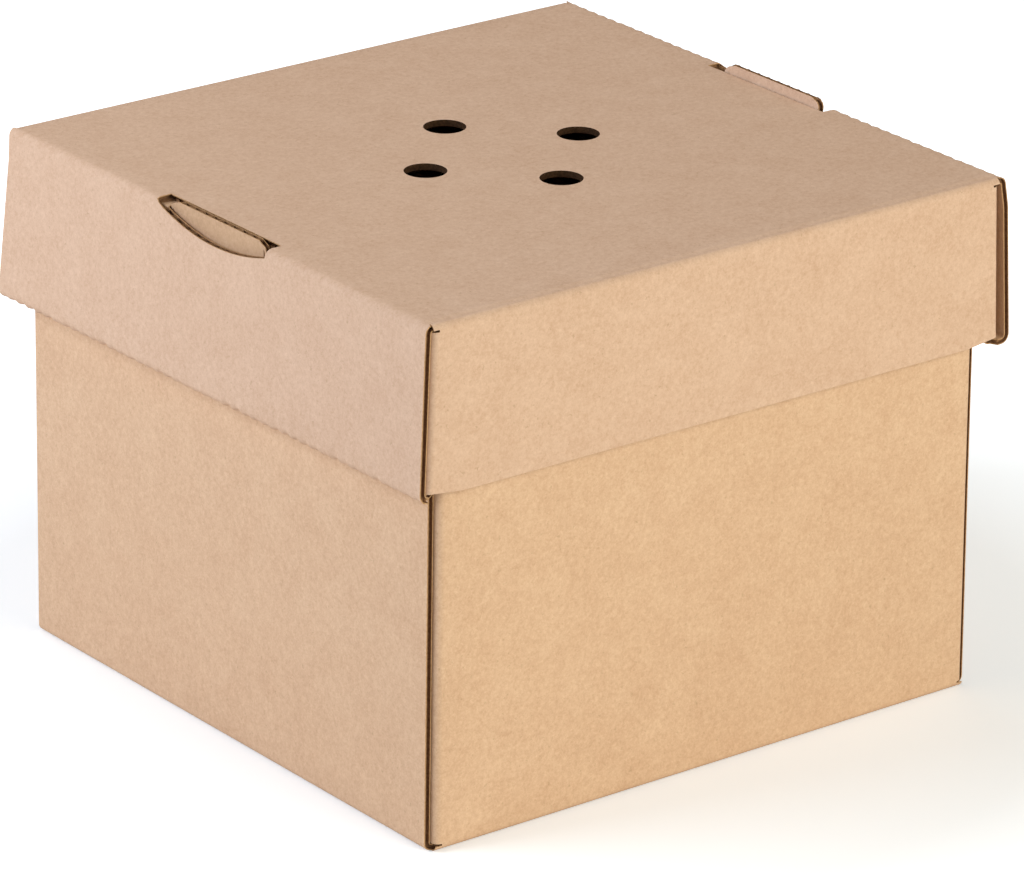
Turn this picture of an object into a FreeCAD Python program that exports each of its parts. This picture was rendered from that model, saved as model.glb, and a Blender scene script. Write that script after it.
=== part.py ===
import FreeCAD, Part
import math
import os
from FreeCAD import Vector

# A small corrugated box of two folded sheets: an open tray and a deep lid that slides down over it.
# Both sheets are folded in the same way. Two opposite walls are single. Their ends turn in as flaps.
# The other two walls are double: the sheet rolls over at the rim, comes back along the far side of
# the flaps and locks with a tab in a slot. The lid's slots are half-moons on its top's side creases.
# Millimetres, +Z up. The origin is the middle of the underside. X runs across the double walls.

# The board, and the gaps and bend radii that folding leaves
board = 1.5
ply_gap = 0.1
edge_gap = 0.4
corner_inside = 0.2
rim_inside = 0.7

# The tray, measured outside at its base. Its double walls lean in, most of all under the lid
tray_length = 150.0
tray_width = 150.0
tray_height = 118.2
tray_lean = 0.6
tray_rim_lean = 2.1
lean_blend = 150.0
tray_crease_inside = 0.2
tray_setback = 2.0
tray_flap = 62.0
tray_tab = 36.0
tray_tab_gap = 0.3

# The lid: its slack over the tray, and how deep its single walls and its rolled rims reach
lid_slack = 1.2
lid_shift = 0.3
lid_end_slack = 1.4
lid_seat = 0.3
lid_drop = 38.0
lid_rim_drop = 39.2
lid_crease_inside = 0.5
lid_setback = 0.5
lid_flap = 58.0
lid_panel_stop = 6.0

# How far the lid's outer panels stand off their flaps: at the crease, lower down, and at the rim
right_crease_stand = 0.3
right_shoulder_stand = 1.3
right_rim_stand = 1.8
left_crease_stand = 0.0
left_shoulder_stand = 0.1
left_front_rim_stand = 0.0
left_back_rim_stand = 2.3
shoulder_drop = 7.0
shoulder_bend = 12.0

# Flap outlines
flap_clear = 0.4
flap_taper = 2.5
corner_notch = 1.2

# The lid's half-moon slots, and the lock tabs that stand up in them
slot_length = 40.4
slot_depth = 4.6
slot_near_end = 0.4
slot_far_end = 1.9
slot_reach = 4.3
tab_length = 34.0
tab_shift = -2.0
tab_rise = 2.0
tab_kick = 0.85
tab_bend = 12.0
tab_corner = 2.5

# The vent holes
vent_diameter = 9.5
vent_circle = 42.0
vent_count = 4

# Heights and pitches that follow
ply = board + ply_gap
middle = board / 2
lid_top = tray_height + lid_seat + board
lid_edge = lid_top - lid_drop
lid_rim = lid_top - lid_rim_drop
lid_crease_foot = lid_top - board - lid_crease_inside
tray_crease_foot = board + tray_crease_inside
panel_stop = lid_top - lid_panel_stop


def tray_face(z):
    """Half the tray's length outside at height z."""
    half = tray_length / 2
    if z <= lid_edge:
        return half - tray_lean * z / lid_edge
    share = (z - lid_edge) / (tray_height - lid_edge)
    return half - tray_lean - (tray_rim_lean - tray_lean) * share


def lid_inner_face(z):
    """Half the clear length inside the lid at height z."""
    return tray_face(z) + lid_slack / 2


def lid_flap_face(z):
    """Half the length over the outer faces of the lid's flaps at height z."""
    return lid_inner_face(z) + board + ply


def lid_stack_face(z):
    """Half the length over the lid's outer panels at height z, if they lay flat on their flaps."""
    return lid_flap_face(z) + ply


def direction(start, end):
    du = end[0] - start[0]
    dv = end[1] - start[1]
    length = math.hypot(du, dv)
    return du / length, dv / length


def beside(point, along, offset):
    """The point at an offset to the left of a direction."""
    return point[0] - along[1] * offset, point[1] + along[0] * offset


def strip_face(path, offset, place):
    """Edges of one face of a folded strip, at an offset to the left of its middle line.

    path holds (u, v, inside radius of the bend). place turns (u, v) into a point in space."""
    edges = []
    here = beside(path[0], direction(path[0], path[1]), offset)
    for before, point, after in zip(path, path[1:], path[2:]):
        first = direction(before, point)
        second = direction(point, after)
        turn = math.atan2(first[0] * second[1] - first[1] * second[0],
                          first[0] * second[0] + first[1] * second[1])
        left = math.copysign(1.0, turn)
        radius = point[2] + middle
        tangent = radius * math.tan(abs(turn) / 2)
        arrive = (point[0] - first[0] * tangent, point[1] - first[1] * tangent)
        leave = (point[0] + second[0] * tangent, point[1] + second[1] * tangent)
        centre = beside(arrive, first, radius * left)
        outward = direction(centre, point)
        reach = radius - offset * left
        crown = (centre[0] + outward[0] * reach, centre[1] + outward[1] * reach)
        start = beside(arrive, first, offset)
        end = beside(leave, second, offset)
        edges.append(Part.LineSegment(place(*here), place(*start)).toShape())
        edges.append(Part.Arc(place(*start), place(*crown), place(*end)).toShape())
        here = end
    last = beside(path[-1], direction(path[-2], path[-1]), offset)
    edges.append(Part.LineSegment(place(*here), place(*last)).toShape())
    return edges


def strip_wire(path, place):
    """Closed outline of a folded strip one board thick, with its ends cut square."""
    left = strip_face(path, middle, place)
    right = strip_face(path, -middle, place)
    ends = []
    for near, far in ((left[0].Vertexes[0], right[0].Vertexes[0]),
                      (left[-1].Vertexes[-1], right[-1].Vertexes[-1])):
        ends.append(Part.LineSegment(near.Point, far.Point).toShape())
    return Part.Wire(Part.sortEdges(left + ends + right)[0])


def side_strip(path, low, high):
    """A strip folded about Y, from an (x, z) path."""
    section = strip_wire(path, lambda x, z: Vector(x, low, z))
    return Part.Face(section).extrude(Vector(0, high - low, 0))


def loft(wires):
    return Part.makeLoft(wires, True, True)


def block(low, high):
    size = [b - a for a, b in zip(low, high)]
    return Part.makeBox(size[0], size[1], size[2], Vector(*low))


def flip_x(shape):
    return shape.mirror(Vector(0, 0, 0), Vector(1, 0, 0))


def both_sides(shape):
    return [shape, flip_x(shape)]


def both_ends(shape):
    return [shape, shape.mirror(Vector(0, 0, 0), Vector(0, 1, 0))]


def joined(shapes):
    """One closed solid of all the shapes."""
    whole = shapes[0].fuse(shapes[1:]).removeSplitter()
    return whole.Solids[0] if len(whole.Solids) == 1 else whole


def end_wall(levels, flap_face, wall_y, flap):
    """A single wall at -Y and the flaps folded back from its two ends.

    flap_face gives half the length over the flaps' outer faces at a height."""
    wires = []
    for z in levels:
        x = flap_face(z) - middle
        y = -wall_y + middle
        tip = -wall_y + flap
        path = [(-x, tip, 0), (-x, y, corner_inside), (x, y, corner_inside), (x, tip, 0)]
        wires.append(strip_wire(path, lambda u, v, z=z: Vector(u, v, z)))
    return loft(wires)


def trim_flaps(wall, wall_y, flap, low, high, reach):
    """Cut the flaps' lower and upper edges clear of the folds, with a taper to their tips."""
    root = -wall_y + board + corner_inside
    tip = -wall_y + flap + board
    for edge, taper, away in ((low, flap_taper, -board * 4), (high, -flap_taper, board * 8)):
        outline = [(root, edge + away), (tip, edge + away), (tip, edge + taper), (root, edge)]
        corners = [Vector(-reach, y, z) for y, z in outline]
        spare = Part.Face(Part.makePolygon(corners + corners[:1])).extrude(Vector(2 * reach, 0, 0))
        wall = wall.cut(spare)
    return wall


def end_crease(half_x, half_y, panel_middle, foot, inside):
    """The fold between the flat panel and the single wall at -Y."""
    bend = inside + board
    path = [(-half_y + 2 * bend, panel_middle, 0),
            (-half_y + middle, panel_middle, inside),
            (-half_y + middle, foot, 0)]
    section = strip_wire(path, lambda y, z: Vector(-half_x, y, z))
    return Part.Face(section).extrude(Vector(2 * half_x, 0, 0))


def make_tray():
    half_x = tray_length / 2
    half_y = tray_width / 2
    bend = tray_crease_foot
    floor = block((-half_x + bend, -half_y + bend, 0), (half_x - bend, half_y - bend, board))

    def ply_middle(z, plies):
        return tray_face(z) - middle - plies * ply

    foot = board + tray_tab_gap
    rim = tray_height - middle
    crown = ply_middle(rim, 1)
    outer = side_strip([(half_x - 2 * bend, middle, 0),
                        (half_x - middle, middle, tray_crease_inside),
                        (ply_middle(lid_edge, 0), lid_edge, lean_blend),
                        (ply_middle(rim, 0), rim, rim_inside),
                        (crown, rim, 0)],
                       -half_y + tray_setback, half_y - tray_setback)
    inner_half = half_y - board - edge_gap
    inner = side_strip([(crown, rim, 0),
                        (ply_middle(rim, 2), rim, rim_inside),
                        (ply_middle(lid_edge, 2), lid_edge, lean_blend),
                        (ply_middle(foot, 2), foot, 0)],
                       -inner_half, inner_half)

    tab_face = ply_middle(foot, 2) + middle
    tab = block((tab_face - board, -tray_tab / 2, tray_tab_gap), (tab_face, tray_tab / 2, foot + board))
    slot_half = tray_tab / 2 + tray_tab_gap
    slot = block((tab_face - board - tray_tab_gap, -slot_half, -board),
                 (tab_face + tray_tab_gap, slot_half, foot))
    for cutter in both_sides(slot):
        floor = floor.cut(cutter)

    wall = end_wall((bend, lid_edge, tray_height - edge_gap), lambda z: tray_face(z) - ply,
                    half_y, tray_flap)
    wall = trim_flaps(wall, half_y, tray_flap, bend + flap_clear,
                      tray_height - board - flap_clear, half_x + board)
    crease = end_crease(tray_face(bend) - ply - corner_notch, half_y, middle, 2 * bend, tray_crease_inside)
    return joined([floor] + both_sides(outer.fuse([inner, tab])) + both_ends(wall.fuse(crease)))


def lid_side(crease_stand, shoulder_stand, front_rim_stand, back_rim_stand):
    """The lid's double wall at +X: crease, flared outer panel, rolled rim and inner panel."""
    half_y = (tray_width + lid_end_slack) / 2 + board
    shoulder = lid_top - shoulder_drop
    bend = lid_crease_inside + board
    bottom = lid_rim + middle
    crease_face = lid_stack_face(lid_crease_foot) + crease_stand
    shoulder_face = lid_stack_face(shoulder) + shoulder_stand
    inner_middle = lid_inner_face(bottom) + middle
    half = half_y - lid_setback
    sections = []
    for y, stand in ((-half, front_rim_stand), (half, back_rim_stand)):
        path = [(crease_face - 2 * bend, lid_top - middle, 0),
                (crease_face - middle, lid_top - middle, lid_crease_inside),
                (shoulder_face - middle, shoulder, shoulder_bend),
                (lid_stack_face(bottom) + stand - middle, bottom, rim_inside),
                (inner_middle, bottom, 0)]
        sections.append(strip_wire(path, lambda x, z, y=y: Vector(x, y, z)))
    outer = loft(sections)
    inner_half = half_y - board - edge_gap
    inner = side_strip([(inner_middle + 2 * middle, bottom, 0),
                        (inner_middle, bottom, rim_inside),
                        (lid_inner_face(panel_stop) + middle, panel_stop, 0)],
                       -inner_half, inner_half)
    return outer, inner.fuse(lid_tab()), crease_face


def half_moon(crease_face):
    """Cutter for the slot on the crease at +X: straight on the top, an arc down the wall."""
    half = slot_length / 2

    def place(y, z):
        return Vector(crease_face - slot_reach, y, z)

    near = place(half, lid_top - slot_near_end)
    far = place(-half, lid_top - slot_far_end)
    roof_near = place(half, lid_top + board)
    roof_far = place(-half, lid_top + board)
    edges = [Part.Arc(near, place(0, lid_top - slot_depth), far).toShape()]
    for start, end in ((far, roof_far), (roof_far, roof_near), (roof_near, near)):
        edges.append(Part.LineSegment(start, end).toShape())
    return Part.Face(Part.Wire(edges)).extrude(Vector(slot_reach + 4 * board, 0, 0))


def lid_tab():
    """The lock tab on the inner panel's free edge at +X: it leans out and stands above the top."""
    root = lid_inner_face(panel_stop) + middle
    rise = (lid_inner_face(panel_stop) - lid_inner_face(lid_crease_foot)) / 2
    knee = root + rise + tab_kick / 2
    top = lid_top + tab_rise
    tab = side_strip([(root, panel_stop - middle, 0),
                      (knee, lid_top - board, tab_bend),
                      (knee + tab_kick, top, 0)],
                     tab_shift - tab_length / 2, tab_shift + tab_length / 2)
    tips = [edge for edge in tab.Edges
            if edge.BoundBox.YLength < 1e-6 and edge.BoundBox.ZMin > lid_top]
    return tab.makeFillet(tab_corner, tips)


def make_lid():
    half_y = (tray_width + lid_end_slack) / 2 + board
    bend = lid_crease_inside + board
    right, right_inner, right_face = lid_side(right_crease_stand, right_shoulder_stand,
                                              right_rim_stand, right_rim_stand)
    left, left_inner, left_face = lid_side(left_crease_stand, left_shoulder_stand,
                                           left_front_rim_stand, left_back_rim_stand)
    panel = block((-left_face + bend, -half_y + bend, lid_top - board),
                  (right_face - bend, half_y - bend, lid_top))
    sheet = panel.fuse([right, flip_x(left)])
    for cutter in (half_moon(right_face), flip_x(half_moon(left_face))):
        sheet = sheet.cut(cutter)
    for number in range(vent_count):
        turn = 2 * math.pi * number / vent_count
        spot = Vector(math.cos(turn), math.sin(turn), 0) * (vent_circle / 2)
        spot.z = lid_top - 2 * board
        sheet = sheet.cut(Part.makeCylinder(vent_diameter / 2, 4 * board, spot))

    wall = end_wall((lid_edge, lid_crease_foot), lid_flap_face, half_y, lid_flap)
    wall = trim_flaps(wall, half_y, lid_flap, lid_rim + board + flap_clear, panel_stop,
                      lid_stack_face(lid_edge))
    crease = end_crease(lid_flap_face(lid_crease_foot) - corner_notch, half_y, lid_top - middle,
                        lid_top - 2 * bend, lid_crease_inside)
    lid = joined([sheet, right_inner, flip_x(left_inner)] + both_ends(wall.fuse(crease)))
    return lid.translated(Vector(lid_shift, 0, 0))


os.makedirs("parts", exist_ok=True)
for name, shape in (("tray", make_tray()), ("lid", make_lid())):
    print(name, "solids", len(shape.Solids), "valid", shape.isValid(), "volume", round(shape.Volume))
    shape.exportStep("parts/" + name + ".step")
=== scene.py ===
import math
import random

import bmesh
import bpy
from mathutils import Matrix, Vector, noise


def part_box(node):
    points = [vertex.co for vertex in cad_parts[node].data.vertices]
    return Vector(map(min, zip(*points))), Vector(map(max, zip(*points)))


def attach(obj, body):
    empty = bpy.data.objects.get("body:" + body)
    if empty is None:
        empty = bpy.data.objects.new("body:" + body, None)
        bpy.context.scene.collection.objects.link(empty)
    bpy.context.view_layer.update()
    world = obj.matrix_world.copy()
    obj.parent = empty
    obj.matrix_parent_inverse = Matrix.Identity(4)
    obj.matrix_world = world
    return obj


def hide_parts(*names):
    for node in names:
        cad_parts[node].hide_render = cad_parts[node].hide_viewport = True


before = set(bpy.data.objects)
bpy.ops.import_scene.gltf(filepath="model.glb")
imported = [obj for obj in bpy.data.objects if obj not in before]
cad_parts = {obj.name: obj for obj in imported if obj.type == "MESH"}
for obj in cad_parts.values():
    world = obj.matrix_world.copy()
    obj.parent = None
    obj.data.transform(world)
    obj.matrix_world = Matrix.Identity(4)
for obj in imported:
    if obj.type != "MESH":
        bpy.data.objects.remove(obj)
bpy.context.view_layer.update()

# A small kraft box: an open tray and a deep lid, each folded from one sheet of E-flute board.
# Each sheet is built as the folder folds it. A flat panel grows over its creases into the walls,
# the double walls roll over at their rims, and the skin is then given the board's thickness.
# Metres, +Z up. X runs across the double walls, whose flutes stand upright.

MM = 0.001
TRAY_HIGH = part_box("tray")[1]
LID_LOW, LID_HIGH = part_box("lid")

# The board: its thickness, the room that a second ply takes, its liners and its flutes
BOARD = 1.5 * MM
PLY = 1.6 * MM
LINER = 0.24 * MM
FLUTE_PAPER = 0.16 * MM
FLUTE_PITCH = 3.5 * MM
FLUTE_POINTS = 12
COLUMNS_PER_FLUTE = 4
ROW = 3.0 * MM
CUT_DEPTH = 0.9 * MM

# Outer radii of the folds
TRAY_BEND = 1.7 * MM
LID_BEND = 1.8 * MM
CORNER_BEND = 1.7 * MM
ROLL_BEND = 2.2 * MM
FOLD_STEPS = 6

# Rows of faces in the walls, and the soft lean of the tray's walls
LID_SHOULDER_ROWS = 3
LID_WALL_ROWS = 10
TRAY_LOWER_ROWS = 14
TRAY_UPPER_ROWS = 6
LID_END_ROWS = 12
TRAY_END_ROWS = 30
TRAY_WALL_BEND = 150 * MM

# Points closer than this lie on one line, and points closer than the second are one point
ON_LINE = 1e-6
SAME_POINT = 1e-7

# The tray, from the frame
TRAY_X = 75.0 * MM
TRAY_Y = TRAY_HIGH.y
TRAY_RIM = TRAY_HIGH.z
TRAY_LEAN = 0.6 * MM
TRAY_RIM_LEAN = 2.1 * MM
TRAY_SETBACK = 2.0 * MM
TRAY_FLAP = 62.0 * MM
INNER_GAP = 0.4 * MM
FLAP_CLEAR = 0.4 * MM
FLAP_TAPER = 2.5 * MM
TRAY_CORNER_RAISE = -1.5 * MM
TRAY_EDGE_DROP = 0.4 * MM

# The lid, from the frame and the tray
LID_TOP = TRAY_RIM + 0.3 * MM + BOARD
LID_Y = LID_HIGH.y
LID_RIM = LID_LOW.z
LID_EDGE = LID_TOP - 38.0 * MM
LID_SLACK = 0.6 * MM
LID_SHIFT = 0.3 * MM
LID_SETBACK = 0.5 * MM
LID_FLAP = 58.0 * MM
FLAP_LIFT = 0.6 * MM
LID_CORNER_RAISE = 0.9 * MM
PANEL_STOP = LID_TOP - 6.0 * MM
SHOULDER = LID_TOP - 7.0 * MM
SHOULDER_BEND = 13.5 * MM
CREASE_FOOT = LID_TOP - LID_BEND

# How far the lid's outer panels stand off their flaps: crease, shoulder, front rim, back rim
RIGHT_STAND = (0.3 * MM, 1.3 * MM, 1.8 * MM, 1.8 * MM)
LEFT_STAND = (0.0, 0.1 * MM, 0.0, 2.3 * MM)

# The half-moon slots and the lock tabs
SLOT_HALF = 20.2 * MM
SLOT_DEPTH = 4.6 * MM
SLOT_NEAR = 0.4 * MM
SLOT_FAR = 1.9 * MM
SLOT_REACH = 4.3 * MM
RIGHT_TAB = (-2.0 * MM, 17.0 * MM, 2.0 * MM)
LEFT_TAB = (-0.5 * MM, 18.0 * MM, 0.2 * MM)
TAB_KICK = 0.85 * MM
TAB_CORNER = 2.5 * MM
TAB_PUSH = 1.1 * MM
PRESS_FROM = 18.0 * MM
PRESS_FULL = 6.0 * MM
PRESS_SIDE = 3.0 * MM

# The vent holes
VENT_RADIUS = 4.75 * MM
VENT_CIRCLE = 21.0 * MM
VENT_COUNT = 4

# How deep the crushed flutes show on the creases and the rolled rims, and how far a panel waves
CREASE_BUMP = 0.35 * MM
RIM_BUMP = 0.6 * MM
SCORE_DEPTH = 0.22 * MM
PANEL_WAVE = 0.12 * MM
PANEL_WAVES_PER_METRE = 22.0
CREASE_REACH = 1.1 * MM
RIM_REACH = 2.6 * MM
SCORE_REACH = 0.4 * MM
DRAWN_FLUTES = 200
LID_SEED = 7
TRAY_SEED = 3

# Where the flute paper starts and ends behind a cut, and its points round a vent hole
PAPER_FRONT = 0.08 * MM
PAPER_BACK = CUT_DEPTH - 0.04 * MM
VENT_POINTS = 96
SHARP_FROM = math.radians(40)

# Material slots: the hollow and vent slots carry darker colours that are painted shade
OUTER, INNER, CUT, HOLLOW, VENT = range(5)


def tray_face(z):
    """Half the tray's length outside at height z: its double walls lean in, most under the lid."""
    if z <= LID_EDGE:
        return TRAY_X - TRAY_LEAN * z / LID_EDGE
    share = (z - LID_EDGE) / (TRAY_RIM - LID_EDGE)
    return TRAY_X - TRAY_LEAN - (TRAY_RIM_LEAN - TRAY_LEAN) * share


def tray_flap(z):
    """Half the distance between the outer faces of the tray's corner flaps."""
    return tray_face(z) - PLY


def lid_inner(z):
    """Half the room inside the lid, between its inner panels."""
    return tray_face(z) + LID_SLACK


def lid_flap(z):
    """Half the distance between the outer faces of the lid's corner flaps."""
    return lid_inner(z) + BOARD + PLY


def lid_stack(z):
    """Half the lid's length outside where all plies of a double wall lie close."""
    return lid_flap(z) + PLY


def ease(share):
    """A share from 0 to 1 with soft ends."""
    share = min(1.0, max(0.0, share))
    return share * share * (3 - 2 * share)


def bent_rows(corners):
    """Points along one face of a strip that is folded at each corner.

    corners holds (x, z, bend radius on this face, rows in the flat before it)."""
    here = Vector(corners[0][:2])
    rows = [here]
    for before, corner, after in zip(corners, corners[1:], corners[2:]):
        point = Vector(corner[:2])
        arrive = (point - Vector(before[:2])).normalized()
        leave = (Vector(after[:2]) - point).normalized()
        turn = arrive.angle(leave)
        start = point - arrive * corner[2] * math.tan(turn / 2)
        rows += [here.lerp(start, (i + 1) / corner[3]) for i in range(corner[3])]
        side = math.copysign(1.0, arrive.cross(leave))
        centre = start + Vector((-arrive.y, arrive.x)) * corner[2] * side
        for i in range(1, FOLD_STEPS + 1):
            turned = Matrix.Rotation(turn * side * i / FOLD_STEPS, 2) @ (start - centre)
            rows.append(centre + turned)
        here = rows[-1]
    last = Vector(corners[-1][:2])
    rows += [here.lerp(last, (i + 1) / corners[-1][3]) for i in range(corners[-1][3])]
    return rows


def extrude(bm, edges):
    """Extrude a row of edges once, and give the new row's edges and vertices."""
    made = bmesh.ops.extrude_edge_only(bm, edges=edges)["geom"]
    row = [e for e in made if isinstance(e, bmesh.types.BMEdge)]
    return row, {v for e in row for v in e.verts}


def grow_side(bm, edges, front, back, half, end, sign):
    """Grow a double wall's strip from a row of edges along Y, through front and back sections.

    half is where the row ends now, and end is where the strip's own end lies."""
    for row_front, row_back in zip(front[1:], back[1:]):
        edges, verts = extrude(bm, edges)
        for vert in verts:
            if abs(vert.co.y) > half - 0.5 * MM:
                vert.co.y = math.copysign(end, vert.co.y)
            spot = row_front.lerp(row_back, (vert.co.y + half) / (2 * half))
            vert.co.x = sign * spot.x
            vert.co.z = spot.y
    return edges


def row_at(edges, test):
    return [e for e in edges if all(test(v.co) for v in e.verts)]


def open_edges(bm, test):
    return row_at([e for e in bm.edges if e.is_boundary], test)


def flat_panel(left, right, half, z, cuts):
    """The sheet's flat middle panel, with a column for every part of a flute and extra lines at cuts."""
    bm = bmesh.new()
    across = bm.verts.layers.float.new("across")
    columns = round(2 * half / FLUTE_PITCH * COLUMNS_PER_FLUTE)
    rows = round((left + right) / (3 * ROW))
    bmesh.ops.create_grid(bm, x_segments=rows, y_segments=columns, size=1.0)
    for vert in bm.verts:
        vert.co = Vector(((vert.co.x * (left + right) + right - left) / 2, vert.co.y * half, z))
        vert[across] = vert.co.y
    for x in cuts:
        bmesh.ops.bisect_plane(bm, geom=bm.verts[:] + bm.edges[:] + bm.faces[:], dist=SAME_POINT,
                               plane_co=(x, 0, 0), plane_no=(1, 0, 0))
    return bm, across


def grow_end(bm, across, sign, wall_half, lip_half, half_y, rows, flap_face, flap, low, high,
             foot_raise):
    """Grow a single wall over its crease, then its two flaps round the corners.

    rows is the wall's section, flap_face(z) the flaps' outer face, flap their length, and low and
    high their bottom and top. across keeps how far over the sheet each point lies.
    A lip of the panel's edge beside the wall, out to lip_half, starts to bend down with it.
    The wall's free edge is raised by foot_raise at its corners, clear of the double walls' rolls."""
    bend_end, panel_z = rows[0]

    def on_crease(co):
        return abs(co.y - sign * bend_end) < ON_LINE and abs(co.z - panel_z) < ON_LINE

    lips = open_edges(bm, lambda co: on_crease(co) and wall_half - ON_LINE < abs(co.x) < lip_half)
    for here in rows[1:FOLD_STEPS]:
        lips, verts = extrude(bm, lips)
        for vert in verts:
            vert.co.y = sign * here.x
            vert.co.z = here.y
    edges = open_edges(bm, lambda co: on_crease(co) and abs(co.x) < wall_half + ON_LINE)
    walked = 0.0
    reference = wall_half
    wall_rows = []
    for before, here in zip(rows, rows[1:]):
        edges, verts = extrude(bm, edges)
        walked += (here - before).length
        for vert in verts:
            if len(wall_rows) >= FOLD_STEPS:
                vert.co.x *= (flap_face(here.y) - CORNER_BEND) / reference
            vert.co.y = sign * here.x
            vert.co.z = here.y
            vert[across] = sign * (bend_end + walked)
        if len(wall_rows) >= FOLD_STEPS:
            reference = flap_face(here.y) - CORNER_BEND
        wall_rows.append(verts)
    wall = set().union(*wall_rows[FOLD_STEPS - 1:])
    for vert in wall_rows[-1]:
        vert.co.z += foot_raise * ease((abs(vert.co.x) - wall_half + 2.0 * MM) / (1.5 * MM))
    for side in (-1, 1):
        edges = [e for e in bm.edges if e.is_boundary and all(v in wall for v in e.verts)
                 and all(v.co.x * side > wall_half - 2 * MM for v in e.verts)
                 and abs(e.verts[0].co.z - e.verts[1].co.z) > ON_LINE]
        steps = [(CORNER_BEND * math.sin(a), half_y - CORNER_BEND + CORNER_BEND * math.cos(a), 0.0)
                 for a in (math.pi / 2 * i / FOLD_STEPS for i in range(FOLD_STEPS + 1))]
        count = round(flap / ROW / 2)
        steps += [(CORNER_BEND, half_y - CORNER_BEND - (flap - CORNER_BEND) * (i + 1) / count,
                   (i + 1) / count) for i in range(count)]
        for before, here in zip(steps, steps[1:]):
            edges, verts = extrude(bm, edges)
            for vert in verts:
                vert.co.x += side * (here[0] - before[0])
                vert.co.y = sign * here[1]
            if here[2] > 0:
                rest = max(v.co.z for v in verts) - min(v.co.z for v in verts)
                base = min(v.co.z for v in verts)
                bottom = low + FLAP_TAPER * here[2]
                top = high - FLAP_TAPER * here[2]
                for vert in verts:
                    vert.co.z = bottom + (vert.co.z - base) / rest * (top - bottom)
    bmesh.ops.remove_doubles(bm, verts=bm.verts[:], dist=SAME_POINT)


def crush(obj, folds, score_y, shift, seed):
    """Sink the outer liner along the folds across the flutes, one dent between every two flutes.

    folds holds (sign, x, z, reach, depth) of each fold. The flat panels get a slow, shallow wave,
    and a top panel a score along its folds at score_y, which run with the flutes."""
    bm = bmesh.new()
    bm.from_mesh(obj.data)
    bm.normal_update()
    rng = random.Random(seed)
    strength = [rng.uniform(0.35, 1.0) for _ in range(DRAWN_FLUTES)]
    skin = {v for f in bm.faces if f.material_index == OUTER for v in f.verts}
    moves = {}
    for vert in skin:
        co = vert.co
        sink = PANEL_WAVE * (0.5 + 0.5 * noise.noise(co * PANEL_WAVES_PER_METRE + Vector((seed, 0, 0))))
        for sign, x, z, reach, depth in folds:
            along_x = (co.x - shift) * sign
            away = math.hypot(along_x - x, co.z - z) / reach
            if away < 3:
                flute = co.y / FLUTE_PITCH
                dent = 0.5 - 0.5 * math.cos(2 * math.pi * flute)
                sink += depth * strength[int(flute) + DRAWN_FLUTES // 2] * dent * math.exp(-away * away)
        score = (abs(co.y) - score_y) / SCORE_REACH
        if vert.normal.z > 0.6 and abs(score) < 3:
            sink += SCORE_DEPTH * math.exp(-score * score)
        moves[vert] = vert.normal * -sink
    for vert, move in moves.items():
        vert.co += move
    bm.to_mesh(obj.data)
    bm.free()


def as_object(bm, name):
    mesh = bpy.data.meshes.new(name)
    bm.to_mesh(mesh)
    bm.free()
    obj = bpy.data.objects.new(name, mesh)
    bpy.context.scene.collection.objects.link(obj)
    return obj


def add_slots(obj, materials):
    for material in materials:
        obj.data.materials.append(material)


def baked(obj):
    """The object with its modifiers made part of its mesh."""
    graph = bpy.context.evaluated_depsgraph_get()
    mesh = bpy.data.meshes.new_from_object(obj.evaluated_get(graph), depsgraph=graph)
    obj.modifiers.clear()
    obj.data = mesh
    return obj


def thicken(obj):
    """Give the skin the board's thickness, inwards."""
    wall = obj.modifiers.new("board", "SOLIDIFY")
    wall.thickness = BOARD
    wall.offset = -1.0
    wall.use_even_offset = True
    wall.material_offset = INNER
    wall.material_offset_rim = CUT
    return baked(obj)


def cut_away(obj, cutters):
    for cutter in cutters:
        cut = obj.modifiers.new("cut", "BOOLEAN")
        cut.operation = "DIFFERENCE"
        cut.solver = "EXACT"
        cut.object = cutter
    baked(obj)
    for cutter in cutters:
        bpy.data.objects.remove(cutter)
    return obj


def open_flutes(obj):
    """Sink the middle of every cut edge between its two liners."""
    bm = bmesh.new()
    bm.from_mesh(obj.data)
    edge_faces = [f for f in bm.faces if f.material_index == CUT]
    bmesh.ops.inset_region(bm, faces=edge_faces, thickness=LINER, depth=0.0,
                           use_boundary=True, use_even_offset=False)
    for face in edge_faces:
        # The sunk middle takes the darker hollow material, painted shade in the recess
        face.material_index = HOLLOW
    bmesh.ops.inset_region(bm, faces=edge_faces, thickness=0.02 * MM, depth=-CUT_DEPTH,
                           use_boundary=True, use_even_offset=False)
    for face in bm.faces:
        face.smooth = True
    bm.to_mesh(obj.data)
    bm.free()
    obj.data.set_sharp_from_angle(angle=SHARP_FROM)
    return obj


def prism_cutter(outline, move, index):
    """A closed cutter over a flat outline, which leaves one kind of cut face."""
    bm = bmesh.new()
    face = bm.faces.new([bm.verts.new(p) for p in outline])
    made = bmesh.ops.extrude_face_region(bm, geom=[face])["geom"]
    bmesh.ops.translate(bm, vec=move, verts=[g for g in made if isinstance(g, bmesh.types.BMVert)])
    bmesh.ops.recalc_face_normals(bm, faces=bm.faces[:])
    for face in bm.faces:
        face.material_index = index
    return as_object(bm, "cutter")


def slot_arc(share):
    """Depth of the half-moon's arc under the top, from its front end at 0 to its back end at 1."""
    chord = SLOT_FAR + (SLOT_NEAR - SLOT_FAR) * share
    return chord + (SLOT_DEPTH - (SLOT_FAR + SLOT_NEAR) / 2) * 4 * share * (1 - share)


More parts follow.
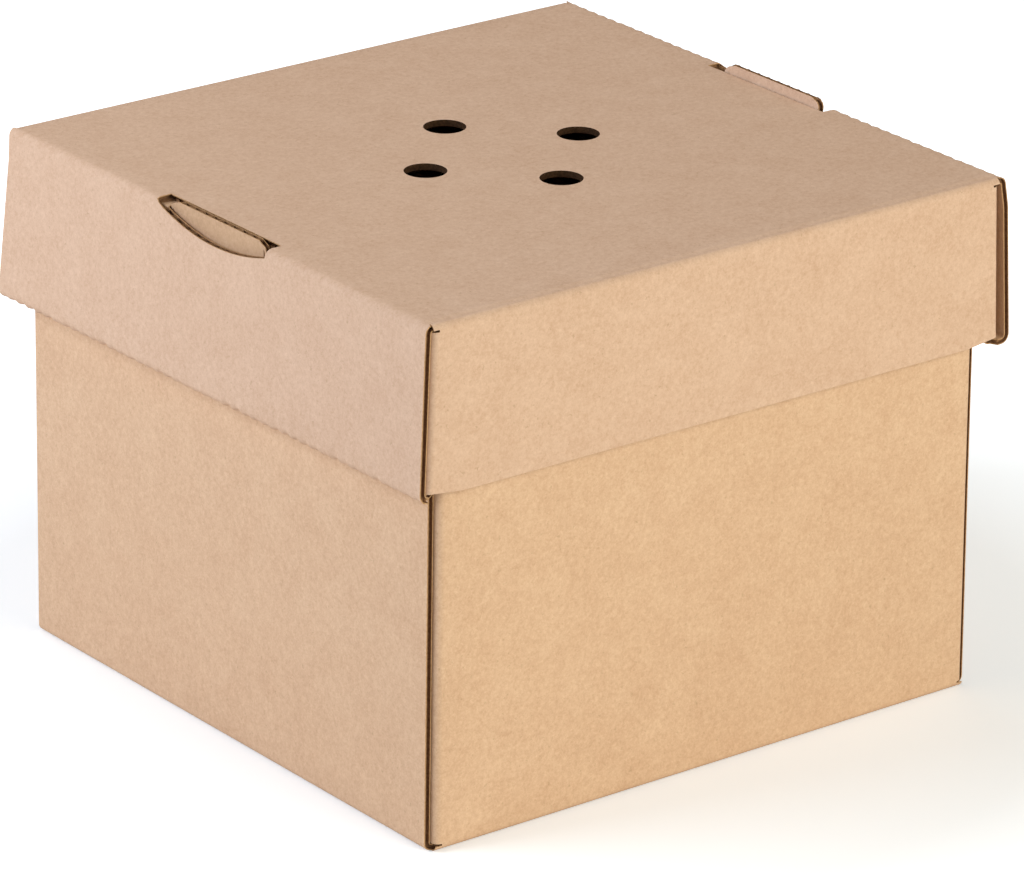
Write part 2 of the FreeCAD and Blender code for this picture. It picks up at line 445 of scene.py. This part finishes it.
def slot_cutter(face, sign):
    """Cutter for a half-moon slot: straight on the top, an arc down the double wall."""
    steps = 28
    outline = [Vector((0, (2 * i / steps - 1) * SLOT_HALF, LID_TOP - slot_arc(i / steps)))
               for i in range(steps + 1)]
    outline += [Vector((0, SLOT_HALF, LID_TOP + BOARD)), Vector((0, -SLOT_HALF, LID_TOP + BOARD))]
    inner = face - SLOT_REACH
    for point in outline:
        point.x = sign * inner + LID_SHIFT
    return prism_cutter(outline, Vector((sign * (SLOT_REACH + 4 * BOARD), 0, 0)), CUT)


def vent_spots():
    """The middles of the vent holes: a diamond on the top."""
    return [Matrix.Rotation(2 * math.pi * i / VENT_COUNT, 3, "Z") @ Vector((VENT_CIRCLE, 0, 0))
            for i in range(VENT_COUNT)]


def vent_cutter(spot):
    bm = bmesh.new()
    bmesh.ops.create_cone(bm, segments=40, radius1=VENT_RADIUS, radius2=VENT_RADIUS, depth=4 * BOARD,
                          cap_ends=True, matrix=Matrix.Translation((spot.x + LID_SHIFT, spot.y, LID_TOP)))
    for face in bm.faces:
        # The hole walls take the nearly black vent material, which is painted shade
        face.material_index = VENT
    return as_object(bm, "cutter")


def flute_ribbon(bm, cut):
    """The flute paper in a cut edge: a wave between the liners that runs back from the cut.

    bm holds the line of the cut. For a point of it, cut gives its place, the way across the board
    and the way in."""
    height = BOARD / 2 - LINER - FLUTE_PAPER / 2
    line = set(bm.verts)
    bmesh.ops.extrude_edge_only(bm, edges=bm.edges[:])
    for vert in bm.verts:
        spot, over, inwards = cut(vert.co)
        depth = PAPER_FRONT if vert in line else PAPER_BACK
        wave = height * math.sin(2 * math.pi * spot.y / FLUTE_PITCH)
        vert.co = spot + over * wave + inwards * depth
    bmesh.ops.solidify(bm, geom=bm.faces[:], thickness=FLUTE_PAPER)
    return bm


def joined_meshes(parts, name):
    whole = bmesh.new()
    for part in parts:
        mesh = bpy.data.meshes.new("part")
        part.to_mesh(mesh)
        part.free()
        whole.from_mesh(mesh)
        bpy.data.meshes.remove(mesh)
    for face in whole.faces:
        face.smooth = True
    return as_object(whole, name)


def straight_wave(y_from, y_to, spot, over, inwards):
    """Flute paper in a cut that crosses the flutes; spot gives the cut's (x, z) at y."""
    bm = bmesh.new()
    count = round((y_to - y_from) / FLUTE_PITCH * FLUTE_POINTS)
    bmesh.ops.spin(bm, geom=[bm.verts.new((0, y_from, 0))], cent=(0, 0, 0), axis=(1, 0, 0), angle=0.0,
                   dvec=(0, (y_to - y_from) / count, 0), steps=count)
    return flute_ribbon(bm, lambda co: (Vector((spot(co.y)[0], co.y, spot(co.y)[1])), over, inwards))


def vent_wave(spot):
    bm = bmesh.new()
    middle = Vector((spot.x + LID_SHIFT, spot.y, LID_TOP - BOARD / 2))
    bmesh.ops.create_circle(bm, segments=VENT_POINTS, radius=VENT_RADIUS,
                            matrix=Matrix.Translation(middle))
    return flute_ribbon(bm, lambda co: (co.copy(), Vector((0, 0, 1)), (co - middle).normalized()))


def lid_rows(stand, rim_stand):
    """One section of the lid's double wall, from the top's crease to the inner panel's foot."""
    bottom = LID_RIM
    crease = lid_stack(CREASE_FOOT) + stand[0]
    return bent_rows([
        (crease - LID_BEND, LID_TOP, 0, 1),
        (crease, LID_TOP, LID_BEND, 1),
        (lid_stack(SHOULDER) + stand[1], SHOULDER, SHOULDER_BEND, LID_SHOULDER_ROWS),
        (lid_stack(bottom) + rim_stand, bottom, ROLL_BEND, LID_WALL_ROWS),
        (lid_inner(bottom), bottom, ROLL_BEND, 2),
        (lid_inner(PANEL_STOP), PANEL_STOP, 0, 10)])


def tab_skin(sign):
    """Section of a lock tab's inner face: the left one is pressed flat behind the outer panel."""
    root = lid_inner(PANEL_STOP)
    if sign < 0:
        face = lid_inner(CREASE_FOOT) + TAB_PUSH
        return [(root + TAB_PUSH, PANEL_STOP, 0, 1), (face, PANEL_STOP + 2 * MM, 3 * MM, 1),
                (face, LID_TOP + LEFT_TAB[2], 0, 4)]
    knee = root + (root - lid_inner(CREASE_FOOT)) / 2 + TAB_KICK / 2
    return [(root, PANEL_STOP, 0, 1), (knee, LID_TOP - BOARD, 12 * MM, 3),
            (knee + TAB_KICK, LID_TOP + RIGHT_TAB[2], 0, 4)]


def press_panel(verts, middle, half):
    """Press the left inner panel outwards below its tab, between the flaps."""
    for vert in verts:
        depth = LID_TOP - vert.co.z
        push = TAB_PUSH * ease((PRESS_FROM - depth) / (PRESS_FROM - PRESS_FULL))
        push *= ease((half - abs(vert.co.y - middle)) / PRESS_SIDE)
        vert.co.x -= push


def raise_tab(bm, sign):
    """Raise a lock tab out of the inner panel's cut edge, with its top corners drawn in to an arc."""
    middle, half, rise = LEFT_TAB if sign < 0 else RIGHT_TAB
    back = bm.verts.layers.float.new("back")
    rows = bent_rows(tab_skin(sign))

    def at_root(vert):
        inwards = (vert.co.x - LID_SHIFT) * sign - rows[0].x
        return (abs(vert.co.y - middle) < half + ON_LINE and abs(vert.co.z - PANEL_STOP) < 0.3 * MM
                and abs(inwards) < 2 * BOARD)

    faces = [f for f in bm.faces if f.material_index == CUT and all(at_root(v) for v in f.verts)]
    tab = {v for f in faces for v in f.verts}
    for face in faces:
        centre = face.calc_center_median().x * sign
        for vert in face.verts:
            vert[back] = float(vert.co.x * sign > centre)
    for before, here in zip(rows, rows[1:]):
        along = (here - before).normalized()
        region = faces + list({e for f in faces for e in f.edges})
        made = bmesh.ops.extrude_face_region(bm, geom=region)["geom"]
        faces = [g for g in made if isinstance(g, bmesh.types.BMFace)]
        for vert in {v for f in faces for v in f.verts}:
            spot = here + Vector((along.y, -along.x)) * BOARD * vert[back]
            above = max(0.0, spot.y - (LID_TOP + rise - TAB_CORNER))
            pull = TAB_CORNER - math.sqrt(max(0.0, TAB_CORNER ** 2 - above ** 2))
            y = vert.co.y - middle
            vert.co = Vector((sign * spot.x + LID_SHIFT, middle + y * (1 - pull / half), spot.y))
            tab.add(vert)
    for face in bm.faces:
        if all(v in tab for v in face.verts):
            backs = sum(v[back] for v in face.verts)
            face.material_index = OUTER if backs == 0 else INNER if backs == len(face.verts) else CUT
    bmesh.ops.recalc_face_normals(bm, faces=bm.faces[:])


def fold_lid(materials):
    """The lid's sheet, folded, with the x of its left and right creases' outer faces."""
    half = LID_Y - LID_SETBACK
    flat = LID_Y - LID_BEND
    left = lid_stack(CREASE_FOOT) + LEFT_STAND[0] - LID_BEND
    right = lid_stack(CREASE_FOOT) + RIGHT_STAND[0] - LID_BEND
    wall_half = lid_flap(CREASE_FOOT) - CORNER_BEND
    bm, across = flat_panel(left, right, flat, LID_TOP, (-wall_half, wall_half))
    inner_half = LID_Y - BOARD - INNER_GAP
    turned = 3 + LID_SHOULDER_ROWS + LID_WALL_ROWS + 3 * FOLD_STEPS
    folds = []
    for sign, edge, stand in ((-1, left, LEFT_STAND), (1, right, RIGHT_STAND)):
        front = lid_rows(stand, stand[2])
        back = lid_rows(stand, stand[3])
        edges = open_edges(bm, lambda co: abs(co.x - sign * edge) < ON_LINE)
        edges = grow_side(bm, edges, front[1:turned], back[1:turned], flat, half, sign)
        kept = set(bm.verts)
        grow_side(bm, edges, front[turned - 1:], back[turned - 1:], flat, inner_half, sign)
        if sign < 0:
            press_panel([v for v in bm.verts if v not in kept], LEFT_TAB[0], LEFT_TAB[1])
        crease_x = lid_stack(CREASE_FOOT) + stand[0] - LID_BEND * 0.3
        folds.append((sign, crease_x, LID_TOP - LID_BEND * 0.3, CREASE_REACH, CREASE_BUMP))
        for share in (0.0, 1.0):
            rim_x = lid_stack(LID_RIM) + stand[2] + (stand[3] - stand[2]) * share
            folds.append((sign, rim_x - ROLL_BEND * 0.6, LID_RIM + 0.5 * MM, RIM_REACH, RIM_BUMP * 0.6))
    rows = bent_rows([(flat, LID_TOP, 0, 1), (LID_Y, LID_TOP, LID_BEND, 1),
                      (LID_Y, LID_EDGE, 0, LID_END_ROWS)])
    for sign in (-1, 1):
        grow_end(bm, across, sign, wall_half, right + ON_LINE, LID_Y, rows[1:], lid_flap, LID_FLAP,
                 LID_RIM + BOARD + FLAP_CLEAR + FLAP_LIFT, PANEL_STOP, LID_CORNER_RAISE)
    bmesh.ops.translate(bm, vec=(LID_SHIFT, 0, 0), verts=bm.verts[:])
    lid = as_object(bm, "lid_board")
    add_slots(lid, materials)
    thicken(lid)
    left_face = left + LID_BEND
    right_face = right + LID_BEND
    cut_away(lid, [slot_cutter(left_face, -1), slot_cutter(right_face, 1)]
             + [vent_cutter(spot) for spot in vent_spots()])
    raised = bmesh.new()
    raised.from_mesh(lid.data)
    for sign in (-1, 1):
        raise_tab(raised, sign)
    raised.to_mesh(lid.data)
    raised.free()
    crush(lid, folds, flat, LID_SHIFT, LID_SEED)
    open_flutes(lid)
    return lid, left_face, right_face


def lid_flutes(left_face, right_face, materials):
    """The flute paper that shows in the vents, the slots and the lock tabs' tips."""
    parts = [vent_wave(spot) for spot in vent_spots()]
    up = Vector((0, 0, 1))
    for sign, face in ((-1, left_face), (1, right_face)):
        out = Vector((sign, 0, 0))
        inner = face - SLOT_REACH
        parts.append(straight_wave(-SLOT_HALF, SLOT_HALF,
                                   lambda y: (sign * inner + LID_SHIFT, LID_TOP - BOARD / 2), up, -out))
        parts.append(straight_wave(-SLOT_HALF, SLOT_HALF,
                                   lambda y: (sign * (face - BOARD / 2) + LID_SHIFT,
                                              LID_TOP - slot_arc((y / SLOT_HALF + 1) / 2)), out, -up))
        middle, half, rise = LEFT_TAB if sign < 0 else RIGHT_TAB
        reach = half - TAB_CORNER
        tip = tab_skin(sign)[-1][0] + BOARD / 2
        parts.append(straight_wave(middle - reach, middle + reach,
                                   lambda y: (sign * tip + LID_SHIFT, LID_TOP + rise), out, -up))
    flutes = joined_meshes(parts, "lid_flutes")
    add_slots(flutes, materials)
    return flutes


def tray_rows():
    """The section of the tray's double wall, from the bottom's crease over the rim to its foot."""
    foot = BOARD + 0.3 * MM

    def inner(z):
        return tray_face(z) - 2 * PLY - BOARD

    return bent_rows([
        (TRAY_X - TRAY_BEND, 0, 0, 1),
        (TRAY_X, 0, TRAY_BEND, 1),
        (tray_face(LID_EDGE), LID_EDGE, TRAY_WALL_BEND, TRAY_LOWER_ROWS),
        (tray_face(TRAY_RIM), TRAY_RIM, ROLL_BEND, TRAY_UPPER_ROWS),
        (inner(TRAY_RIM), TRAY_RIM, ROLL_BEND, 1),
        (inner(LID_EDGE), LID_EDGE, TRAY_WALL_BEND, TRAY_UPPER_ROWS),
        (inner(foot), foot, 0, 14)])


def fold_tray(materials):
    """The tray's sheet, folded."""
    flat = TRAY_Y - TRAY_BEND
    wall_half = tray_flap(TRAY_BEND) - CORNER_BEND
    bm, across = flat_panel(TRAY_X - TRAY_BEND, TRAY_X - TRAY_BEND, flat, 0.0,
                            (-wall_half, wall_half))
    bmesh.ops.reverse_faces(bm, faces=bm.faces[:])
    rows = tray_rows()
    inner_half = TRAY_Y - BOARD - INNER_GAP
    turned = 3 + TRAY_LOWER_ROWS + TRAY_UPPER_ROWS + 3 * FOLD_STEPS
    for sign in (-1, 1):
        edges = open_edges(bm, lambda co: abs(co.x - sign * (TRAY_X - TRAY_BEND)) < ON_LINE
                           and abs(co.z) < ON_LINE)
        edges = grow_side(bm, edges, rows[1:turned], rows[1:turned], flat, TRAY_Y - TRAY_SETBACK, sign)
        grow_side(bm, edges, rows[turned - 1:], rows[turned - 1:], flat, inner_half, sign)
    end_rows = bent_rows([(flat, 0, 0, 1), (TRAY_Y, 0, TRAY_BEND, 1),
                          (TRAY_Y, TRAY_RIM - TRAY_EDGE_DROP, 0, TRAY_END_ROWS)])
    for sign in (-1, 1):
        grow_end(bm, across, sign, wall_half, TRAY_X - TRAY_BEND + ON_LINE, TRAY_Y, end_rows[1:],
                 tray_flap, TRAY_FLAP, TRAY_BEND + FLAP_CLEAR, TRAY_RIM - BOARD - FLAP_CLEAR,
                 TRAY_CORNER_RAISE)
    tray = as_object(bm, "tray_board")
    add_slots(tray, materials)
    thicken(tray)
    rim_x = tray_face(TRAY_RIM) - 2.35 * MM
    folds = [(sign, rim_x, TRAY_RIM, RIM_REACH, RIM_BUMP * 0.7) for sign in (-1, 1)]
    crush(tray, folds, TRAY_Y, 0.0, TRAY_SEED)
    open_flutes(tray)
    return tray


def linear(code):
    """An sRGB hex colour as linear RGBA."""
    values = [int(code[i:i + 2], 16) / 255 for i in (1, 3, 5)]
    return [v / 12.92 if v <= 0.04045 else ((v + 0.055) / 1.055) ** 2.4 for v in values] + [1.0]


def add_node(tree, kind, links=None, **settings):
    """Add a node, set its properties and plain inputs, and link its other inputs."""
    node = tree.nodes.new(kind)
    for name, value in settings.items():
        setattr(node, name, value)
    for name, value in (links or {}).items():
        if isinstance(value, bpy.types.NodeSocket):
            tree.links.new(value, node.inputs[name])
        else:
            node.inputs[name].default_value = value
    return node


def kraft_liner(name, dark, plain, light):
    """Kraft liner of corrugated board: brown wood fibres pressed on a felt, uncoated and matt.

    It gives the eye a soft mottle, darker and lighter fibres a few tenths of a millimetre wide,
    and the faint washboard of the flutes glued behind it."""
    material = bpy.data.materials.new(name)
    material.use_nodes = True
    tree = material.node_tree
    shader = tree.nodes["Principled BSDF"]
    place = add_node(tree, "ShaderNodeTexCoord").outputs["Object"]
    cloud = add_node(tree, "ShaderNodeTexNoise", {"Vector": place, "Scale": 1 / (9 * MM),
                                                  "Detail": 3.0, "Roughness": 0.6})
    mottle = add_node(tree, "ShaderNodeTexNoise", {"Vector": place, "Scale": 1 / (1.3 * MM),
                                                   "Detail": 4.0, "Roughness": 0.7})
    fibre = add_node(tree, "ShaderNodeTexNoise", {"Vector": place, "Scale": 1 / (0.45 * MM),
                                                  "Detail": 3.0, "Roughness": 0.6, "Distortion": 0.8})
    mixed = add_node(tree, "ShaderNodeMix", {"Factor": 0.3, "A": mottle.outputs["Fac"],
                                             "B": cloud.outputs["Fac"]})
    both = add_node(tree, "ShaderNodeMix", {"Factor": 0.4, "A": mixed.outputs[0],
                                            "B": fibre.outputs["Fac"]})
    shade = add_node(tree, "ShaderNodeValToRGB", {"Fac": both.outputs[0]})
    shade.color_ramp.elements.new(0.5)
    for element, position, code in zip(shade.color_ramp.elements, (0.36, 0.5, 0.66), (dark, plain, light)):
        element.position = position
        element.color = linear(code)
    speck = add_node(tree, "ShaderNodeTexNoise", {"Vector": place, "Scale": 1 / (0.9 * MM),
                                                  "Detail": 2.0, "Distortion": 0.4})
    flecks = add_node(tree, "ShaderNodeMapRange", {"Value": speck.outputs["Fac"], "From Min": 0.66,
                                                   "From Max": 0.76, "To Max": 0.35})
    flecked = add_node(tree, "ShaderNodeMix", {"Factor": flecks.outputs["Result"]}, data_type="RGBA")
    tree.links.new(shade.outputs["Color"], flecked.inputs[6])
    flecked.inputs[7].default_value = linear("#A5805F")
    tree.links.new(flecked.outputs[2], shader.inputs["Base Color"])
    across = add_node(tree, "ShaderNodeAttribute", attribute_name="across")
    wave = add_node(tree, "ShaderNodeMath", {0: across.outputs["Fac"], 1: 2 * math.pi / FLUTE_PITCH},
                    operation="MULTIPLY")
    ribs = add_node(tree, "ShaderNodeMath", {0: wave.outputs[0]}, operation="COSINE")
    washboard = add_node(tree, "ShaderNodeBump", {"Strength": 0.25, "Distance": 0.02 * MM,
                                                  "Height": ribs.outputs[0]})
    paper = add_node(tree, "ShaderNodeBump", {"Strength": 0.3, "Distance": 0.05 * MM,
                                              "Height": both.outputs[0],
                                              "Normal": washboard.outputs["Normal"]})
    tree.links.new(paper.outputs["Normal"], shader.inputs["Normal"])
    shader.inputs["Roughness"].default_value = 0.85
    shader.inputs["Specular IOR Level"].default_value = 0.25
    return material


def flute_paper(name, plain, dark):
    """Fluting: thin brown paper pressed into a wave. In darker colours it also makes the torn middle of a
    cut edge and the vent walls, where the dark colour is painted shade.
    """
    material = bpy.data.materials.new(name)
    material.use_nodes = True
    tree = material.node_tree
    shader = tree.nodes["Principled BSDF"]
    place = add_node(tree, "ShaderNodeTexCoord").outputs["Object"]
    fibre = add_node(tree, "ShaderNodeTexNoise", {"Vector": place, "Scale": 1 / (0.6 * MM),
                                                  "Detail": 3.0})
    shade = add_node(tree, "ShaderNodeValToRGB", {"Fac": fibre.outputs["Fac"]})
    for element, position, code in zip(shade.color_ramp.elements, (0.3, 0.7), (dark, plain)):
        element.position = position
        element.color = linear(code)
    tree.links.new(shade.outputs["Color"], shader.inputs["Base Color"])
    shader.inputs["Roughness"].default_value = 0.95
    shader.inputs["Specular IOR Level"].default_value = 0.1
    return material


# The sheets' outer liners: the lid's is a little greyer and paler than the tray's
tray_liner = kraft_liner("tray_kraft_liner", "#CFA98B", "#DBB89A", "#E7C7A9")
lid_liner = kraft_liner("lid_kraft_liner", "#CEAA91", "#D9B8A0", "#E4C5AF")
# The liner inside the box is made of recycled fibre, duller and darker
inner_liner = kraft_liner("test_liner", "#C09C7D", "#CCA888", "#D6B596")
# A cut edge: the liners' pale cut rims, the hollow between them, whose darker colour is painted shade over
# the real recess, and the waved paper in it
cut_board = flute_paper("cut_liner_edge", "#C9A27C", "#B08960")
painted_shade_hollow = flute_paper("fluting_hollow_painted_shade", "#9A7456", "#7C5A3F")
fluting = flute_paper("fluting_paper", "#BE9672", "#9E7752")
# The vent holes' punched walls are painted nearly black: painted shade, as the real cut walls are kraft
# and only look dark for want of light
vent_wall_painted_shade = flute_paper("vent_edge_painted_shade", "#4A3322", "#2E1F14")

# The two sheets, and the flute paper in the lid's cut edges
tray = fold_tray([tray_liner, inner_liner, cut_board, painted_shade_hollow, vent_wall_painted_shade])
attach(tray, "tray")
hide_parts("tray")

lid, left_face, right_face = fold_lid([lid_liner, inner_liner, cut_board, painted_shade_hollow, vent_wall_painted_shade])
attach(lid, "lid")
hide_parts("lid")

flutes = lid_flutes(left_face, right_face, [fluting])
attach(flutes, "lid")

# The floor: white to the camera, and a little darker for the light that it throws back
FLOOR_SIZE = 6.0
floor_bm = bmesh.new()
bmesh.ops.create_grid(floor_bm, x_segments=1, y_segments=1, size=FLOOR_SIZE)
floor = as_object(floor_bm, "floor")
floor_material = bpy.data.materials.new("white_paper_sweep")
floor_material.use_nodes = True
floor_tree = floor_material.node_tree
floor_tree.nodes.clear()
path = add_node(floor_tree, "ShaderNodeLightPath")
seen = add_node(floor_tree, "ShaderNodeBsdfDiffuse", {"Color": (0.95, 0.975, 1.0, 1.0)})
floor_place = add_node(floor_tree, "ShaderNodeTexCoord").outputs["Object"]
reach = add_node(floor_tree, "ShaderNodeVectorMath", {0: floor_place}, operation="LENGTH")
# The glow is weaker near the box and stronger further out: painted shade around the box, on top of its
# real shadow
painted_shade_fade = add_node(floor_tree, "ShaderNodeMapRange", {"Value": reach.outputs["Value"], "From Min": 0.13,
                                                   "From Max": 0.26, "To Min": 0.3, "To Max": 0.9})
glow = add_node(floor_tree, "ShaderNodeEmission", {"Color": (0.82, 0.9, 1.0, 1.0),
                                                   "Strength": painted_shade_fade.outputs["Result"]})
bright = add_node(floor_tree, "ShaderNodeAddShader", {0: seen.outputs[0], 1: glow.outputs[0]})
thrown = add_node(floor_tree, "ShaderNodeBsdfDiffuse", {"Color": (0.78, 0.77, 0.75, 1.0)})
swap = add_node(floor_tree, "ShaderNodeMixShader", {0: path.outputs["Is Camera Ray"],
                                                    1: thrown.outputs[0], 2: bright.outputs[0]})
add_node(floor_tree, "ShaderNodeOutputMaterial", {"Surface": swap.outputs[0]})
floor.data.materials.append(floor_material)

# The light: a soft room, a large soft lamp to each side of the camera and one over the back
world = bpy.data.worlds.new("studio")
bpy.context.scene.world = world
world.use_nodes = True
world_tree = world.node_tree
world_tree.nodes.clear()
world_path = add_node(world_tree, "ShaderNodeLightPath")
room = add_node(world_tree, "ShaderNodeBackground", {"Color": (1.0, 0.95, 0.9, 1.0), "Strength": 0.24})
white = add_node(world_tree, "ShaderNodeBackground", {"Color": (1.0, 1.0, 1.0, 1.0), "Strength": 1.0})
world_mix = add_node(world_tree, "ShaderNodeMixShader", {0: world_path.outputs["Is Camera Ray"],
                                                         1: room.outputs[0], 2: white.outputs[0]})
add_node(world_tree, "ShaderNodeOutputWorld", {"Surface": world_mix.outputs[0]})


def soft_lamp(name, azimuth, elevation, distance, size, power, colour):
    """A square lamp that looks at the box from an azimuth and elevation, as seen from above."""
    data = bpy.data.lights.new(name, "AREA")
    data.size = size
    data.energy = power
    data.color = linear(colour)[:3]
    lamp = bpy.data.objects.new(name, data)
    bpy.context.scene.collection.objects.link(lamp)
    a, e = math.radians(azimuth), math.radians(elevation)
    back = Vector((math.sin(a) * math.cos(e), -math.cos(a) * math.cos(e), math.sin(e)))
    lamp.matrix_world = Matrix.Translation(Vector((0, 0, 0.06)) + back * distance) @ \
        (-back).to_track_quat("-Z", "Y").to_matrix().to_4x4()


soft_lamp("left_lamp", -112, 27, 0.85, 0.5, 5.0, "#F2F8FF")
soft_lamp("right_lamp", 14, 20, 1.5, 1.0, 16.8, "#FFFBE6")
soft_lamp("back_lamp", 175, 50, 1.0, 0.6, 1.5, "#FFF4E6")

# The camera, at the photograph's viewing angle
FOCAL_PIXELS = 6588.5
IMAGE_WIDTH = 1024
CAMERA_AZIMUTH = math.radians(-37.66)
CAMERA_ELEVATION = math.radians(21.705)
CAMERA_ROLL = math.radians(0.553)
CAMERA_DISTANCE = 1.48314
CAMERA_SIDEWAYS = 3.39 * MM
CAMERA_UP = 47.96 * MM

camera_data = bpy.data.cameras.new("camera")
camera = bpy.data.objects.new("camera", camera_data)
bpy.context.scene.collection.objects.link(camera)
camera_data.sensor_width = 36.0
camera_data.lens = camera_data.sensor_width * FOCAL_PIXELS / IMAGE_WIDTH
camera_data.clip_start = 0.05
camera_data.clip_end = 50
back = Vector((math.sin(CAMERA_AZIMUTH) * math.cos(CAMERA_ELEVATION),
               -math.cos(CAMERA_AZIMUTH) * math.cos(CAMERA_ELEVATION), math.sin(CAMERA_ELEVATION)))
right = Vector((math.cos(CAMERA_AZIMUTH), math.sin(CAMERA_AZIMUTH), 0))
up = back.cross(right)
rolled_right = right * math.cos(CAMERA_ROLL) + up * math.sin(CAMERA_ROLL)
rolled_up = up * math.cos(CAMERA_ROLL) - right * math.sin(CAMERA_ROLL)
turn = Matrix((rolled_right, rolled_up, back)).transposed().to_4x4()
spot = back * CAMERA_DISTANCE + rolled_right * CAMERA_SIDEWAYS + rolled_up * CAMERA_UP
camera.matrix_world = Matrix.Translation(spot) @ turn
bpy.context.scene.camera = camera
bpy.context.scene.view_settings.view_transform = "Standard"
